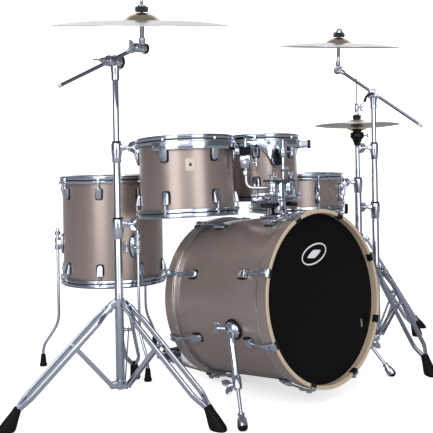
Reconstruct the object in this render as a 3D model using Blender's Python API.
"""Five-piece acoustic drum kit with two boom cymbal stands, a hi-hat stand and a bass drum pedal.

Metres, +Z up. +X is to the right as seen from the audience, and the bass drum's front faces -Y.
The layout is measured from the middle of the bass drum's front edge, and KIT_CENTRE moves it so
that the origin is on the floor under the middle of the whole kit. An empty stands on each joint's
axis, with its own Z along that axis.
"""

import math

import bmesh
import bpy
from mathutils import Matrix, Vector

INCH = 0.0254
GAP = 0.0004
KIT_CENTRE = Vector((0.1175, 0.4517, 0.0))

# Drums: nominal diameter and depth, hoop overhang, and how the head sits in the hoop
SHELL_WALL = 0.006
HOOP_OVERHANG = 0.0126
HOOP_HEIGHT = 0.027
HEAD_DEPTH = 0.0120
HEAD_THICKNESS = 0.0008
BASS_RADIUS = 0.2530
BASS_SHELL_LENGTH = 0.3980
BASS_RECESS = 0.0245
BASS_HOOP_RADIUS = 0.2662
BASS_HOOP_DEPTH = 0.0380
BASS_HEIGHT = 0.3110
BASS_TILT = 0.098
BASS_LENGTH = BASS_SHELL_LENGTH + 2 * BASS_RECESS

TOM_1 = {"place": (-0.183, 0.425, 0.676), "lean": (0.011, 0.057), "inches": (12, 9)}
TOM_2 = {"place": (0.158, 0.414, 0.700), "lean": (0.014, 0.035), "inches": (10, 8)}
FLOOR_TOM = {"place": (-0.200, 0.817, 0.4935), "lean": (0.0, 0.0), "inches": (14, 14)}
SNARE = {"place": (0.497, 0.549, 0.6005), "lean": (0.0, 0.0), "inches": (14, 5)}

# Tom holder on the bass drum and the two L-shaped arms
HOLDER = (0.0, 0.184)
HOLDER_TOP = 0.662
ARM_RADIUS = 0.00525
ARM_1 = {"upright": (-0.0650, 0.2700), "top": 0.800, "level": 0.6400}
ARM_2 = {"upright": (0.0880, 0.2475), "top": 0.796, "level": 0.6150}
BAND_DROP = (0.0185, 0.0460)
BAND_THICKNESS = 0.0018
BAND_HALF_ANGLE = math.radians(118)

# Stands
STAND_RADIUS = 0.340
LEFT_STAND = {"place": (-0.488, 0.382), "turn": math.radians(46), "clamp": 1.023,
              "boom_side": 1, "boom_length": 0.380}
RIGHT_STAND = {"place": (0.579, 0.227), "turn": math.radians(-114), "clamp": 0.972,
               "boom_side": -1, "boom_length": 0.375}
LEFT_CYMBAL = {"place": (-0.487, 0.252, 1.109), "radius": 10 * INCH, "lean": (-0.116, -0.152),
               "post": 0.063}
RIGHT_CYMBAL = {"place": (0.486, 0.314, 1.150), "radius": 9 * INCH, "lean": (-0.083, -0.126),
                "post": 0.085}
BASE_TUBE = 0.0127
MID_TUBE = 0.0111
TOP_TUBE = 0.0095
TUBE_WALL = 0.0012
BOOM_RADIUS = 0.0060
BOOM_OFFSET = 0.0190

HIHAT = {"place": (0.831, 0.488), "turn": math.radians(-37), "foot_radius": 0.275}
HIHAT_EDGE = 0.874
HIHAT_RADIUS = 7 * INCH
HIHAT_ROD_TOP = 1.074
PEDAL_TURN = math.radians(125)

SNARE_STAND = {"turn": math.radians(45), "foot_radius": 0.155}

FLOOR_LEG_TURN = math.radians(19)
FLOOR_LEG_RADIUS = 0.0050

SPUR_BRACKET = {"angle": math.radians(14), "along": 0.158}
SPUR_FOOT = (0.356, 0.008)

FINISHES = {
    "chrome": ((0.78, 0.79, 0.82), 1.0, 0.12),
    "wrap": ((0.30, 0.24, 0.20), 0.6, 0.35),
    "maple": ((0.62, 0.50, 0.38), 0.0, 0.45),
    "black_film": ((0.015, 0.015, 0.016), 0.0, 0.30),
    "white_film": ((0.85, 0.85, 0.83), 0.0, 0.45),
    "bronze": ((0.74, 0.70, 0.62), 1.0, 0.30),
    "rubber": ((0.02, 0.02, 0.022), 0.0, 0.70),
    "blackened": ((0.03, 0.03, 0.035), 0.4, 0.40),
}

PIVOTS = {}


def on_floor(x, y, z=0.0):
    """A place in the layout, moved to the kit's own origin."""
    return Vector((x, y, z)) - KIT_CENTRE


def polar(centre, radius, angle, z):
    """The point at this radius and angle round a vertical line."""
    return Vector((centre[0] + radius * math.cos(angle), centre[1] + radius * math.sin(angle), z))


def frame_at(place, axis=(0, 0, 1), toward=None):
    """A frame at a place whose Z is the axis, and whose X leans toward a direction if one is given."""
    z = Vector(axis).normalized()
    x = Vector(toward) if toward is not None else Vector((1, 0, 0))
    x = (x - z * x.dot(z)).normalized()
    turn = Matrix((x, z.cross(x), z)).transposed().to_4x4()
    return Matrix.Translation(place) @ turn


def pivot(name, frame, parent=None):
    """An empty on a joint's axis, under the pivot of the body that carries it."""
    empty = bpy.data.objects.new(name, None)
    empty.empty_display_size = 0.04
    bpy.context.scene.collection.objects.link(empty)
    PIVOTS[name] = frame
    attach(empty, frame, parent)


def attach(obj, frame, parent):
    """Places an object by a world frame, under a pivot if one is named."""
    if parent is None:
        obj.matrix_basis = frame
        return
    obj.parent = bpy.data.objects[parent]
    obj.matrix_basis = PIVOTS[parent].inverted() @ frame


def finish_of(name, kind):
    """A material of the object's own, from the kit's table of finishes."""
    colour, metallic, roughness = FINISHES[kind]
    material = bpy.data.materials.new(name + "_" + kind)
    material.use_nodes = True
    shader = material.node_tree.nodes["Principled BSDF"]
    shader.inputs["Base Color"].default_value = (*colour, 1.0)
    shader.inputs["Metallic"].default_value = metallic
    shader.inputs["Roughness"].default_value = roughness
    return material


def turned(outline, steps=28, start=0.0, sweep=2 * math.pi):
    """A closed outline of (radius, height) points spun about Z, whole or through part of a turn."""
    shape = bmesh.new()
    side = Vector((math.cos(start), math.sin(start), 0))
    points = [shape.verts.new(side * radius + Vector((0, 0, height))) for radius, height in outline]
    loops = list(zip(points, points[1:] + points[:1]))
    edges = [shape.edges.new(pair) for pair in loops if not on_axis(pair)]
    whole = sweep > 6.2
    ends = [] if whole else [shape.faces.new(points)]
    spun = bmesh.ops.spin(shape, geom=points + edges + ends, cent=(0, 0, 0), axis=(0, 0, 1),
                          angle=sweep, steps=steps, use_merge=whole, use_duplicate=False)
    del spun
    bmesh.ops.remove_doubles(shape, verts=shape.verts, dist=1e-6)
    if not whole:
        bmesh.ops.holes_fill(shape, edges=[edge for edge in shape.edges if edge.is_boundary])
    bmesh.ops.recalc_face_normals(shape, faces=shape.faces)
    return shape


def on_axis(pair):
    """Whether both points lie on Z, where an edge would spin into nothing."""
    return all(math.hypot(point.co.x, point.co.y) < 1e-9 for point in pair)


def block(size, centre=(0, 0, 0), frame=None):
    """A box of this size about a centre, in a frame if one is given."""
    shape = bmesh.new()
    place = Matrix.Translation(centre) @ Matrix.Diagonal((*size, 1))
    bmesh.ops.create_cube(shape, size=1, matrix=(frame or Matrix()) @ place)
    return shape


def bar(start, end, width, thickness, flat=(0, 0, 1)):
    """A flat bar from one point to another, its width square to the flat direction."""
    along = Vector(end) - Vector(start)
    frame = frame_at((Vector(start) + Vector(end)) / 2, along, toward=flat)
    return block((thickness, width, along.length), frame=frame)


def rod(points, radius, sides=8):
    """A round bar through these points, with flat ends and mitred corners."""
    points = [Vector(point) for point in points]
    shape = bmesh.new()
    rings = []
    runs = [(after - before).normalized() for before, after in zip(points, points[1:])]
    side = frame_at(points[0], runs[0], toward=(0.31, 0.95, 0.02)).to_3x3().col[0]
    for number, point in enumerate(points):
        before = runs[max(number - 1, 0)]
        after = runs[min(number, len(runs) - 1)]
        middle = (before + after).normalized()
        side = (side - middle * side.dot(middle)).normalized()
        other = middle.cross(side)
        stretch = 1 / max(middle.dot(after), 0.5)
        bend = (after - before)
        bend = bend.normalized() if bend.length > 1e-6 else None
        ring = []
        for step in range(sides):
            turn = 2 * math.pi * step / sides
            offset = side * math.cos(turn) * radius + other * math.sin(turn) * radius
            if bend is not None:
                offset += bend * offset.dot(bend) * (stretch - 1)
            ring.append(shape.verts.new(point + offset))
        rings.append(ring)
    for lower, upper in zip(rings, rings[1:]):
        for step in range(sides):
            after = (step + 1) % sides
            shape.faces.new((lower[step], lower[after], upper[after], upper[step]))
    shape.faces.new(list(reversed(rings[0])))
    shape.faces.new(rings[-1])
    bmesh.ops.recalc_face_normals(shape, faces=shape.faces)
    return shape


def moved(shape, frame):
    """The same shape, carried into a frame."""
    bmesh.ops.transform(shape, matrix=frame, verts=shape.verts)
    return shape


def add_object(name, shape, frame, parent, kind=None):
    """An object holding a shape, which is given in world coordinates and stored from the frame's origin."""
    bmesh.ops.transform(shape, matrix=frame.inverted(), verts=shape.verts)
    mesh = bpy.data.meshes.new(name)
    shape.to_mesh(mesh)
    shape.free()
    mesh.shade_smooth()
    mesh.set_sharp_from_angle(angle=math.radians(35))
    obj = bpy.data.objects.new(name, mesh)
    attach(obj, frame, parent)
    if kind is not None:
        mesh.materials.append(finish_of(name, kind))
    return obj


def node(name, kind, shapes, frame=None, parent=None, cuts=()):
    """One sub-part: shapes in world coordinates, joined into one body, less any cuts."""
    frame = frame if frame is not None else PIVOTS.get(parent, Matrix())
    obj = add_object(name, shapes[0], frame, parent, kind)
    bpy.context.scene.collection.objects.link(obj)
    combine(obj, shapes[1:], "UNION", frame, parent)
    combine(obj, cuts, "DIFFERENCE", frame, parent)
    return obj


def combine(obj, shapes, operation, frame, parent):
    """A Boolean with a collection of hidden helper shapes."""
    if not shapes:
        return
    helpers = bpy.data.collections.new(obj.name + "_" + operation.lower())
    helpers.hide_render = True
    bpy.context.scene.collection.children.link(helpers)
    for number, shape in enumerate(shapes):
        helper = add_object(f"{helpers.name}_{number}", shape, frame, parent)
        helper.hide_render = True
        helper.display_type = "WIRE"
        helpers.objects.link(helper)
    modifier = obj.modifiers.new(operation.title(), "BOOLEAN")
    modifier.operation = operation
    modifier.operand_type = "COLLECTION"
    modifier.collection = helpers
    modifier.solver = "EXACT"


def mirrored(outline, length):
    """A turned outline seen from the other end of a drum of this length."""
    return [(radius, length - height) for radius, height in reversed(outline)]


# ---------------------------------------------------------------- drums

def bass_drum():
    """Shell, two wooden hoops and two heads about one tilted axis, with its front end at the frame's origin."""
    turn = Matrix.Rotation(-(math.pi / 2 + BASS_TILT), 4, "X")
    frame = Matrix.Translation(on_floor(0, 0, BASS_HEIGHT)) @ turn
    steps = 40
    shell = [(BASS_RADIUS, BASS_RECESS), (BASS_RADIUS, BASS_LENGTH - BASS_RECESS),
             (BASS_RADIUS - 0.007, BASS_LENGTH - BASS_RECESS), (BASS_RADIUS - 0.007, BASS_RECESS)]
    face = BASS_RECESS - GAP - HEAD_THICKNESS
    rim = BASS_HOOP_RADIUS - 0.0085
    hoop = [(BASS_HOOP_RADIUS, 0), (BASS_HOOP_RADIUS, BASS_HOOP_DEPTH), (rim, BASS_HOOP_DEPTH),
            (rim, face - GAP), (BASS_HOOP_RADIUS - 0.0117, face - GAP), (BASS_HOOP_RADIUS - 0.0117, 0)]
    head = [(0, face), (rim - GAP, face), (rim - GAP, 0.0440), (BASS_RADIUS + GAP, 0.0440),
            (BASS_RADIUS + GAP, face + HEAD_THICKNESS), (0, face + HEAD_THICKNESS)]
    node("bass_drum_shell", "wrap", [moved(turned(shell, steps), frame)], frame)
    node("bass_drum_front_hoop", "wrap", [moved(turned(hoop, steps), frame)], frame)
    node("bass_drum_batter_hoop", "wrap", [moved(turned(mirrored(hoop, BASS_LENGTH), steps), frame)], frame)
    node("bass_drum_front_head", "black_film", [moved(turned(head, steps), frame)], frame)
    node("bass_drum_batter_head", "white_film", [moved(turned(mirrored(head, BASS_LENGTH), steps), frame)],
         frame)
    return frame


def drum_axis(drum):
    """The frame of a drum that stands on end, its Z leaning as the drum does."""
    return frame_at(on_floor(*drum["place"]), (*drum["lean"], 1))


def drum_radius(drum):
    return drum["inches"][0] * INCH / 2


def drum_height(drum):
    """From the top edge of one hoop to the bottom edge of the other."""
    return drum["inches"][1] * INCH + 2 * (HEAD_DEPTH + HEAD_THICKNESS + GAP)


def standing_drum(name, drum, parent=None, frame=None, bottom_kind="white_film"):
    """Shell, flanged hoops and heads of a tom, floor tom or snare drum."""
    axis = drum_axis(drum)
    radius = drum_radius(drum)
    top = drum_height(drum) / 2
    under = top - HEAD_DEPTH - HEAD_THICKNESS
    outer = radius + HOOP_OVERHANG
    collar = outer - 0.0062
    shell = [(radius, under - GAP), (radius - SHELL_WALL, under - GAP),
             (radius - SHELL_WALL, GAP - under), (radius, GAP - under)]
    hoop = [(outer, top), (outer - 0.0055, top), (outer - 0.0055, top - HOOP_HEIGHT),
            (outer - 0.0030, top - HOOP_HEIGHT), (outer - 0.0030, top - 0.0190), (outer, top - 0.0180)]
    head = [(0, top - HEAD_DEPTH), (0, under), (radius + GAP, under), (radius + GAP, top - 0.0250),
            (collar, top - 0.0250), (collar, top - HEAD_DEPTH)]
    parts = (("shell", "wrap", shell), ("top_hoop", "chrome", hoop),
             ("bottom_hoop", "chrome", mirrored(hoop, 0)), ("top_head", "white_film", head),
             ("bottom_head", bottom_kind, mirrored(head, 0)))
    for part, kind, outline in parts:
        node(f"{name}_{part}", kind, [moved(turned(outline), axis)], frame or axis, parent)


def suspension(name, drum, arm, parent):
    """A steel band round the drum under its top hoop, and the clamp block that the arm's upright goes through."""
    axis = drum_axis(drum)
    top = drum_height(drum) / 2
    inner = drum_radius(drum) + HOOP_OVERHANG + GAP
    upright = on_floor(*arm["upright"], 0)
    local = axis.inverted() @ Vector((upright.x, upright.y, axis.translation.z + top - 0.06))
    toward = math.atan2(local.y, local.x)
    high, low = top - BAND_DROP[0], top - BAND_DROP[1]
    outline = [(inner, low), (inner + BAND_THICKNESS, low), (inner + BAND_THICKNESS, high), (inner, high)]
    steps = 22
    offset = math.pi / steps / 2
    band = moved(turned(outline, steps, toward - BAND_HALF_ANGLE + offset, 2 * BAND_HALF_ANGLE), axis)
    reach = math.hypot(local.x, local.y)
    outward = Vector((math.cos(toward), math.sin(toward), 0))
    level = (high + low) / 2
    arm_plate = bar(outward * (inner + BAND_THICKNESS * 0.4) + Vector((0, 0, level)),
                    outward * (reach + 0.004) + Vector((0, 0, level)), 0.030, 0.022)
    clamp_frame = frame_at((upright.x, upright.y, axis.translation.z + level - 0.022))
    clamp = block((0.030, 0.030, 0.056), frame=clamp_frame)
    bore = rod(((upright.x, upright.y, 0.5), (upright.x, upright.y, 0.9)), ARM_RADIUS + 1.5 * GAP, 12)
    node(f"{name}_suspension_mount", "chrome", [band, moved(arm_plate, axis), clamp], None, parent, cuts=[bore])


def tom_holder(bass):
    """Base plate on the bass drum, a short post and the two clamps that grip the arms."""
    x, y = HOLDER
    along = (y / math.cos(BASS_TILT))
    seat = bass @ Vector((0, -(BASS_RADIUS + GAP), along))
    post = rod((seat + Vector((0, 0, 0.004)), on_floor(x, y, HOLDER_TOP - 0.004)), 0.0125, 12)
    foot = block((0.060, 0.085, 0.012), frame=frame_at(seat + Vector((0, 0, 0.0085)), bass.col[1].xyz * -1))
    neck = rod((seat + Vector((0, 0, 0.006)), seat + Vector((0, 0, 0.034))), 0.0180, 12)
    head = block((0.112, 0.040, 0.006), on_floor(x, y, HOLDER_TOP))
    shapes = [post, foot, neck, head]
    bores = []
    for arm, side in ((ARM_1, -1), (ARM_2, 1)):
        grip = on_floor(x + 0.024 * side, y + 0.004, arm["level"])
        shapes.append(block((0.034, 0.030, 0.024), grip))
        inner, outer = arm_run(arm, side)
        bores.append(rod((inner - (outer - inner) * 0.3, outer), ARM_RADIUS + GAP, 12))
    node("tom_holder", "chrome", shapes, cuts=bores)


def arm_run(arm, side):
    """Where an arm's level part ends inside its clamp, and the corner under its upright."""
    inner = on_floor(HOLDER[0] + 0.016 * side, HOLDER[1] + 0.002, arm["level"])
    return inner, on_floor(*arm["upright"], arm["level"])


def tom_arm(name, arm, side):
    """An L-shaped rod: its level part turns in the holder's clamp, and its upright carries the tom."""
    inner, corner = arm_run(arm, side)
    pivot(name + "_turn", frame_at(inner, corner - inner, toward=(0, 0, 1)))
    back = (inner - corner).normalized()
    bend = 0.014
    lift = Vector((0, 0, 1))
    path = [inner, corner + back * bend, corner + back * bend * 0.3 + lift * bend * 0.3, corner + lift * bend,
            on_floor(*arm["upright"], arm["top"])]
    node(name, "chrome", [rod(path, ARM_RADIUS, 12)], None, name + "_turn")
    pivot(name.replace("arm", "height"), frame_at(corner), name + "_turn")


def toms(bass):
    tom_holder(bass)
    for number, drum, arm, side in ((1, TOM_1, ARM_1, -1), (2, TOM_2, ARM_2, 1)):
        tom_arm(f"tom_{number}_arm", arm, side)
        carrier = f"tom_{number}_height"
        standing_drum(f"tom_{number}", drum, carrier)
        suspension(f"tom_{number}", drum, arm, carrier)


def spurs(bass):
    """Two folding legs that hold up the bass drum's front end."""
    for side, word in ((-1, "left"), (1, "right")):
        angle = SPUR_BRACKET["angle"]
        out = (bass.to_3x3() @ Vector((side * math.cos(angle), math.sin(angle), 0))).normalized()
        centre = bass @ Vector((0, 0, SPUR_BRACKET["along"]))
        root = centre + out * (BASS_RADIUS + GAP)
        hub = root + out * 0.016
        foot = on_floor(SPUR_FOOT[0] * side, SPUR_FOOT[1])
        name = f"spur_{word}"
        pivot(name + "_fold", frame_at(hub, out * side * -1))
        sleeve_end = hub.lerp(foot, 0.42)
        along = (foot - hub).normalized()
        shapes = [rod((root, hub + out * 0.010), 0.0165, 12), rod((hub, sleeve_end), 0.0080, 10),
                  rod((hub, foot - along * 0.030), 0.0048, 8),
                  rod((foot + Vector((0, 0, 0.0)), foot + Vector((0, 0, 0.012)),
                       foot - along * 0.045), 0.0105, 10)]
        node(name, "chrome", shapes, None, name + "_fold")


def floor_tom():
    standing_drum("floor_tom", FLOOR_TOM)
    radius = drum_radius(FLOOR_TOM)
    centre = FLOOR_TOM["place"]
    for number in range(3):
        angle = FLOOR_LEG_TURN + number * 2 * math.pi / 3
        name = f"floor_tom_leg_{number + 1}"
        near = [polar(centre, radius + 0.0235, angle, z) - KIT_CENTRE for z in (0.498, 0.155)]
        wide = [polar(centre, radius + 0.082, angle, z) - KIT_CENTRE for z in (0.070, 0.010)]
        pivot(name + "_slide", frame_at(near[1]))
        foot = rod((wide[1] * 1 + Vector((0, 0, -0.010)), wide[1] + Vector((0, 0, 0.016))), 0.0090, 10)
        node(name, "chrome", [rod(near + wide, FLOOR_LEG_RADIUS), foot], None, name + "_slide")


# ---------------------------------------------------------------- stands

def tube(low, high, radius, sides=12):
    """An open tube between two heights, as a turned outline."""
    inner = radius - TUBE_WALL
    return turned([(radius, low), (radius, high), (inner, high), (inner, low)], sides)


def collar(low, high, bore, outer, sides=12):
    """A ring with an open bore, such as a height clamp."""
    return turned([(outer, low), (outer, high), (bore, high), (bore, low)], sides)


def tripod(centre, turn, foot_radius, hub_height, crown_height, bore, width=0.022):
    """Crown, hub, three legs with braces and rubber-ended feet, round a tube of this bore radius."""
    shapes = [collar(crown_height - 0.014, crown_height + 0.014, bore, bore + 0.010),
              collar(hub_height - 0.012, hub_height + 0.012, bore, bore + 0.010)]
    place = Matrix.Translation(Vector((centre[0], centre[1], 0)) - KIT_CENTRE)
    shapes = [moved(shape, place) for shape in shapes]
    for number in range(3):
        angle = turn + number * 2 * math.pi / 3
        top = polar(centre, bore + 0.004, angle, crown_height) - KIT_CENTRE
        toe = polar(centre, foot_radius - 0.012, angle, 0.012) - KIT_CENTRE
        low = polar(centre, bore + 0.004, angle, hub_height) - KIT_CENTRE
        knee = top.lerp(toe, 0.36)
        shapes.append(bar(top, toe, width, 0.006, top - low + (top - toe)))
        shapes.append(bar(low, knee, width * 0.5, 0.005, (0, 0, 1)))
        tip = polar(centre, foot_radius + 0.012, angle, 0.009) - KIT_CENTRE
        heel = toe + (top - toe).normalized() * 0.042
        shapes.append(bar(heel, toe + Vector((0, 0, 0.004)), 0.030, 0.018, (0, 0, 1)))
        shapes.append(block((0.036, 0.028, 0.018), frame=frame_at(
            (tip + polar(centre, foot_radius - 0.016, angle, 0.009) - KIT_CENTRE) / 2,
            toward=tip - toe)))
    return shapes


def cymbal_outline(radius, bell=0.052, rise=0.021, bow=0.015, thick=0.0013, hole=0.0065):
    """A cymbal's closed outline: the bow falls from the bell's edge to the rim at height nought."""
    upper = [(radius, 0.0), (radius * 0.8, bow * 0.36), (radius * 0.5, bow * 0.78), (bell, bow + 0.0015),
             (bell * 0.80, bow + rise * 0.50), (bell * 0.45, bow + rise * 0.92), (hole, bow + rise)]
    lower = [(r, z - thick) for r, z in reversed(upper)]
    return upper + lower


def stand_tube(name, finish, centre, low, high, radius, clamp, parent, extra=()):
    """A telescoping tube with the clamp collar at its top end that grips the next tube."""
    place = Matrix.Translation(Vector((centre[0], centre[1], 0)) - KIT_CENTRE)
    shapes = [moved(tube(low, high, radius), place)]
    if clamp is not None:
        bottom, bore = clamp
        shapes.append(moved(collar(bottom, bottom + 0.058, bore, radius + 0.0045), place))
    shapes.extend(extra)
    node(name, finish, shapes, None, parent)


def cymbal_stand(word, stand, cymbal):
    """Tripod base, two telescoping tubes, a tilting boom arm, and a tilting post that carries the cymbal."""
    centre = stand["place"]
    clamp = stand["clamp"]
    base_top, mid_top = 0.506, 0.729
    legs = tripod(centre, stand["turn"], STAND_RADIUS, 0.079, 0.315, BASE_TUBE - 0.0006)
    stand_tube(f"{word}_stand_base", "chrome", centre, 0.067, base_top, BASE_TUBE,
               (base_top - 0.002, MID_TUBE + GAP), None, legs)
    pivot(f"{word}_stand_height", frame_at(on_floor(*centre, base_top + 0.056)))
    stand_tube(f"{word}_stand_middle_tube", "chrome", centre, 0.320, mid_top, MID_TUBE,
               (mid_top - 0.002, TOP_TUBE + GAP), f"{word}_stand_height")
    pivot(f"{word}_stand_extension", frame_at(on_floor(*centre, mid_top + 0.056)), f"{word}_stand_height")
    hinge = on_floor(*centre, clamp)
    middle = on_floor(*cymbal["place"])
    axis = Vector((*cymbal["lean"], 1)).normalized()
    swing = middle - axis * cymbal["post"]
    along = (swing - hinge).normalized()
    across = along.cross(Vector((0, 0, 1))).normalized() * stand["boom_side"]
    head = [rod((on_floor(*centre, clamp - 0.054), on_floor(*centre, clamp - 0.0165)), 0.0120, 12),
            rod((hinge - across * 0.014, hinge + across * 0.0075), 0.0190, 12)]
    place = Matrix.Translation(on_floor(*centre))
    upper = [moved(tube(0.560, clamp - 0.050, TOP_TUBE), place), *head]
    node(f"{word}_stand_top_tube", "chrome", upper, None, f"{word}_stand_extension")
    beside = hinge + across * BOOM_OFFSET
    pin = swing + across * BOOM_OFFSET
    pivot(f"{word}_boom_tilt", frame_at(beside, across), f"{word}_stand_extension")
    arm = [rod((pin - along * stand["boom_length"], pin), BOOM_RADIUS, 10),
           rod((beside - across * 0.0110, beside + across * 0.0100), 0.0150, 12),
           rod((pin - across * 0.0115, pin + across * 0.0100), 0.0120, 12)]
    node(f"{word}_boom_arm", "chrome", arm, None, f"{word}_boom_tilt")
    pivot(f"{word}_cymbal_tilt", frame_at(swing, across), f"{word}_boom_tilt")
    post = [rod((swing - across * 0.0070, swing + across * 0.0068), 0.0120, 12),
            rod((swing, middle + axis * 0.010), 0.0048, 10),
            rod((swing, middle + axis * 0.084), 0.0036, 8),
            rod((middle + axis * 0.006, middle + axis * 0.0310), 0.0130, 12)]
    node(f"{word}_cymbal_post", "chrome", post, None, f"{word}_cymbal_tilt")
    pivot(f"{word}_cymbal_rock", frame_at(middle + axis * 0.030, across), f"{word}_cymbal_tilt")
    disc = moved(turned(cymbal_outline(cymbal["radius"]), 32), frame_at(middle, axis))
    node(f"{word}_cymbal", "bronze", [disc], None, f"{word}_cymbal_rock")


def snare_on_stand():
    """Tripod, telescoping tube and three-armed basket, with the snare drum resting in the basket."""
    centre = SNARE["place"][:2]
    place = Matrix.Translation(on_floor(*centre))
    legs = tripod(centre, SNARE_STAND["turn"], SNARE_STAND["foot_radius"], 0.055, 0.255, 0.0121, 0.018)
    stand_tube("snare_stand_base", "chrome", centre, 0.045, 0.330, 0.0127, (0.328, 0.0110 + GAP), None, legs)
    pivot("snare_stand_height", frame_at(on_floor(*centre, 0.386)))
    joint = 0.452
    post = [moved(tube(0.200, joint - 0.016, 0.0110), place),
            rod((on_floor(*centre, joint - 0.030), on_floor(*centre, joint - 0.012)), 0.0130, 12),
            rod((on_floor(centre[0] - 0.014, centre[1], joint), on_floor(centre[0] + 0.014, centre[1], joint)),
                0.0150, 12)]
    node("snare_stand_tube", "chrome", post, None, "snare_stand_height")
    pivot("snare_basket_tilt", frame_at(on_floor(*centre, joint), (1, 0, 0), toward=(0, 0, 1)),
          "snare_stand_height")
    low = SNARE["place"][2] - drum_height(SNARE) / 2
    rim = drum_radius(SNARE) + HOOP_OVERHANG
    ears = [block((0.007, 0.026, 0.056), on_floor(centre[0] + side * 0.0185, centre[1], joint + 0.012))
            for side in (-1, 1)]
    ears.append(block((0.046, 0.026, 0.010), on_floor(*centre, joint + 0.035)))
    arms = []
    for number in range(3):
        angle = math.radians(-47) + number * 2 * math.pi / 3
        path = [polar(centre, radius, angle, z) - KIT_CENTRE
                for radius, z in ((0.004, joint + 0.035), (0.060, joint + 0.038), (rim - 0.010, low - 0.014),
                                  (rim + 0.009, low - 0.006), (rim + 0.009, low + 0.024))]
        arms.append(rod(path, 0.0050, 8))
    node("snare_basket", "chrome", [ears[2], *ears[:2], *arms], None, "snare_basket_tilt")
    standing_drum("snare_drum", SNARE, "snare_basket_tilt", bottom_kind="white_film")
    angle = math.radians(-44)
    out = Vector((math.cos(angle), math.sin(angle), 0))
    hinge = on_floor(*SNARE["place"]) + out * (drum_radius(SNARE) + 0.014) - Vector((0, 0, 0.030))
    across = Vector((0, 0, 1)).cross(out)
    pivot("snare_throw_off_turn", frame_at(hinge, across), "snare_basket_tilt")
    lever = [rod((hinge - across * 0.012, hinge + across * 0.012), 0.0060, 10),
             bar(hinge, hinge + Vector((0, 0, 0.060)) + out * 0.006, 0.018, 0.007, out)]
    node("snare_throw_off_lever", "chrome", lever, None, "snare_throw_off_turn")


def hihat():
    """Tripod base, height tube with the lower cymbal, the pull rod with the upper cymbal, and the foot pedal."""
    centre = HIHAT["place"]
    place = Matrix.Translation(on_floor(*centre))
    legs = tripod(centre, HIHAT["turn"], HIHAT["foot_radius"], 0.150, 0.400, 0.0137, 0.024)
    ahead = Vector((math.cos(PEDAL_TURN), math.sin(PEDAL_TURN), 0))
    side = Vector((-ahead.y, ahead.x, 0))
    base = on_floor(*centre)
    rails = [bar(base + side * s * 0.052 + Vector((0, 0, 0.006)),
                 base + side * s * 0.052 + ahead * 0.330 + Vector((0, 0, 0.006)), 0.008, 0.012)
             for s in (-1, 1)]
    ends = [bar(base - side * 0.056 + ahead * d + Vector((0, 0, 0.006)),
                base + side * 0.056 + ahead * d + Vector((0, 0, 0.006)), 0.030, 0.012)
            for d in (0.0, 0.322)]
    stem = [rod((base + side * s * 0.046 + Vector((0, 0, 0.006)), base + side * s * 0.024
                 + Vector((0, 0, 0.130))), 0.0050, 8) for s in (-1, 1)]
    yoke = bar(base - side * 0.030 + Vector((0, 0, 0.132)), base + side * 0.030 + Vector((0, 0, 0.132)),
               0.030, 0.020)
    shapes = legs + rails + ends + stem + [yoke, moved(collar(0.587, 0.647, 0.0100 + GAP, 0.0185), place)]
    node("hihat_stand_base", "chrome", [moved(tube(0.125, 0.589, 0.0143), place), *shapes])
    pivot("hihat_height", frame_at(on_floor(*centre, 0.647)))
    seat = HIHAT_EDGE - 0.0305
    upper = [tube(0.420, seat - 0.020, 0.0100), collar(seat - 0.050, seat - 0.012, 0.0060, 0.0150),
             collar(seat - 0.016, seat, 0.0060, 0.0190)]
    node("hihat_upper_tube", "chrome", [moved(shape, place) for shape in upper], None, "hihat_height")
    lower_frame = frame_at(on_floor(*centre, HIHAT_EDGE - 0.00155), (0, 0, -1))
    cymbal = cymbal_outline(HIHAT_RADIUS, bell=0.045, rise=0.016, bow=0.010, hole=0.0075)
    node("hihat_bottom_cymbal", "bronze", [moved(turned(cymbal, 32), lower_frame)], None, "hihat_height")
    pivot("hihat_pull", frame_at(on_floor(*centre, HIHAT_EDGE)), "hihat_height")
    line = [on_floor(*centre, z) for z in (0.240, HIHAT_ROD_TOP)]
    clutch = [on_floor(*centre, z) for z in (HIHAT_EDGE + 0.058, HIHAT_EDGE + 0.092)]
    node("hihat_pull_rod", "chrome", [rod(line, 0.0030, 8), rod(clutch, 0.0080, 12)], None, "hihat_pull")
    upper_frame = frame_at(on_floor(*centre, HIHAT_EDGE + 0.00155))
    top = cymbal_outline(HIHAT_RADIUS, bell=0.045, rise=0.016, bow=0.010, hole=0.0042)
    node("hihat_top_cymbal", "bronze", [moved(turned(top, 32), upper_frame)], None, "hihat_pull")
    heel = base + ahead * 0.322 + Vector((0, 0, 0.024))
    pivot("hihat_pedal_turn", frame_at(heel, side))
    board = [bar(heel - ahead * 0.004, base + ahead * 0.046 + Vector((0, 0, 0.052)), 0.084, 0.008),
             rod((heel - side * 0.048, heel + side * 0.048), 0.0060, 8)]
    node("hihat_footboard", "chrome", board, None, "hihat_pedal_turn")


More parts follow.
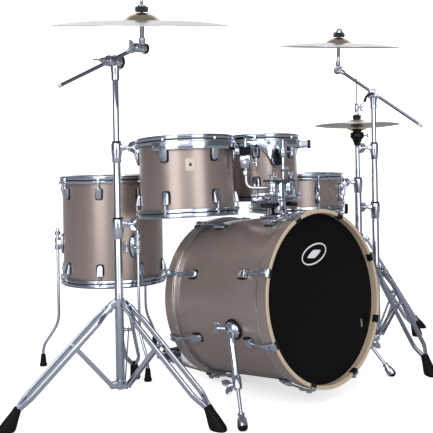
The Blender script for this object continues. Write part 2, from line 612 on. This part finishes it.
def bass_pedal():
    """Base plate with two posts under the batter hoop, a footboard hinged at its heel, and the beater."""
    rear = BASS_LENGTH - 0.022
    y_post = rear + 0.060
    y_heel = y_post + 0.265
    plate = block((0.100, y_heel - rear + 0.030, 0.006), on_floor(0, (rear + y_heel + 0.030) / 2, 0.003))
    heel_block = block((0.092, 0.046, 0.016), on_floor(0, y_heel + 0.006, 0.013))
    posts = [block((0.012, 0.026, 0.183), on_floor(side * 0.046, y_post, 0.0955)) for side in (-1, 1)]
    hoop_clamp = block((0.040, 0.040, 0.010), on_floor(0, rear + 0.022, 0.010))
    bores = [rod((on_floor(-0.08, y_post, 0.170), on_floor(0.08, y_post, 0.170)), 0.0060 + GAP, 12)]
    node("bass_pedal_frame", "chrome", [plate, heel_block, *posts, hoop_clamp], cuts=bores)
    heel = on_floor(0, y_heel - 0.014, 0.030)
    pivot("bass_pedal_press", frame_at(heel, (1, 0, 0), toward=(0, 0, 1)))
    toe = on_floor(0, y_post + 0.010, 0.088)
    board = [bar(heel - Vector((0, 0.002, 0)), toe, 0.076, 0.008),
             rod((heel - Vector((0.040, 0, 0)), heel + Vector((0.040, 0, 0))), 0.0065, 10)]
    node("bass_pedal_footboard", "blackened", board, None, "bass_pedal_press")
    axle = on_floor(0, y_post, 0.170)
    pivot("bass_pedal_beat", frame_at(axle, (1, 0, 0), toward=(0, 0, 1)))
    strike = Vector((0, 0.36, 0.93)).normalized()
    hub = axle + strike * 0.135
    toward = Vector((0, -strike.z, strike.y))
    beater = [rod((axle - Vector((0.062, 0, 0)), axle + Vector((0.062, 0, 0))), 0.0060, 12),
              rod((axle - Vector((0.016, 0, 0)), axle + Vector((0.016, 0, 0))), 0.0160, 12),
              rod((axle, hub), 0.0040, 8), rod((hub - toward * 0.026, hub + toward * 0.026), 0.0240, 12)]
    node("bass_pedal_beater", "chrome", beater, None, "bass_pedal_beat")


def main():
    for leftover in list(bpy.data.objects):
        bpy.data.objects.remove(leftover, do_unlink=True)
    bass = bass_drum()
    toms(bass)
    spurs(bass)
    floor_tom()
    cymbal_stand("left", LEFT_STAND, LEFT_CYMBAL)
    cymbal_stand("right", RIGHT_STAND, RIGHT_CYMBAL)
    snare_on_stand()
    hihat()
    bass_pedal()


main()
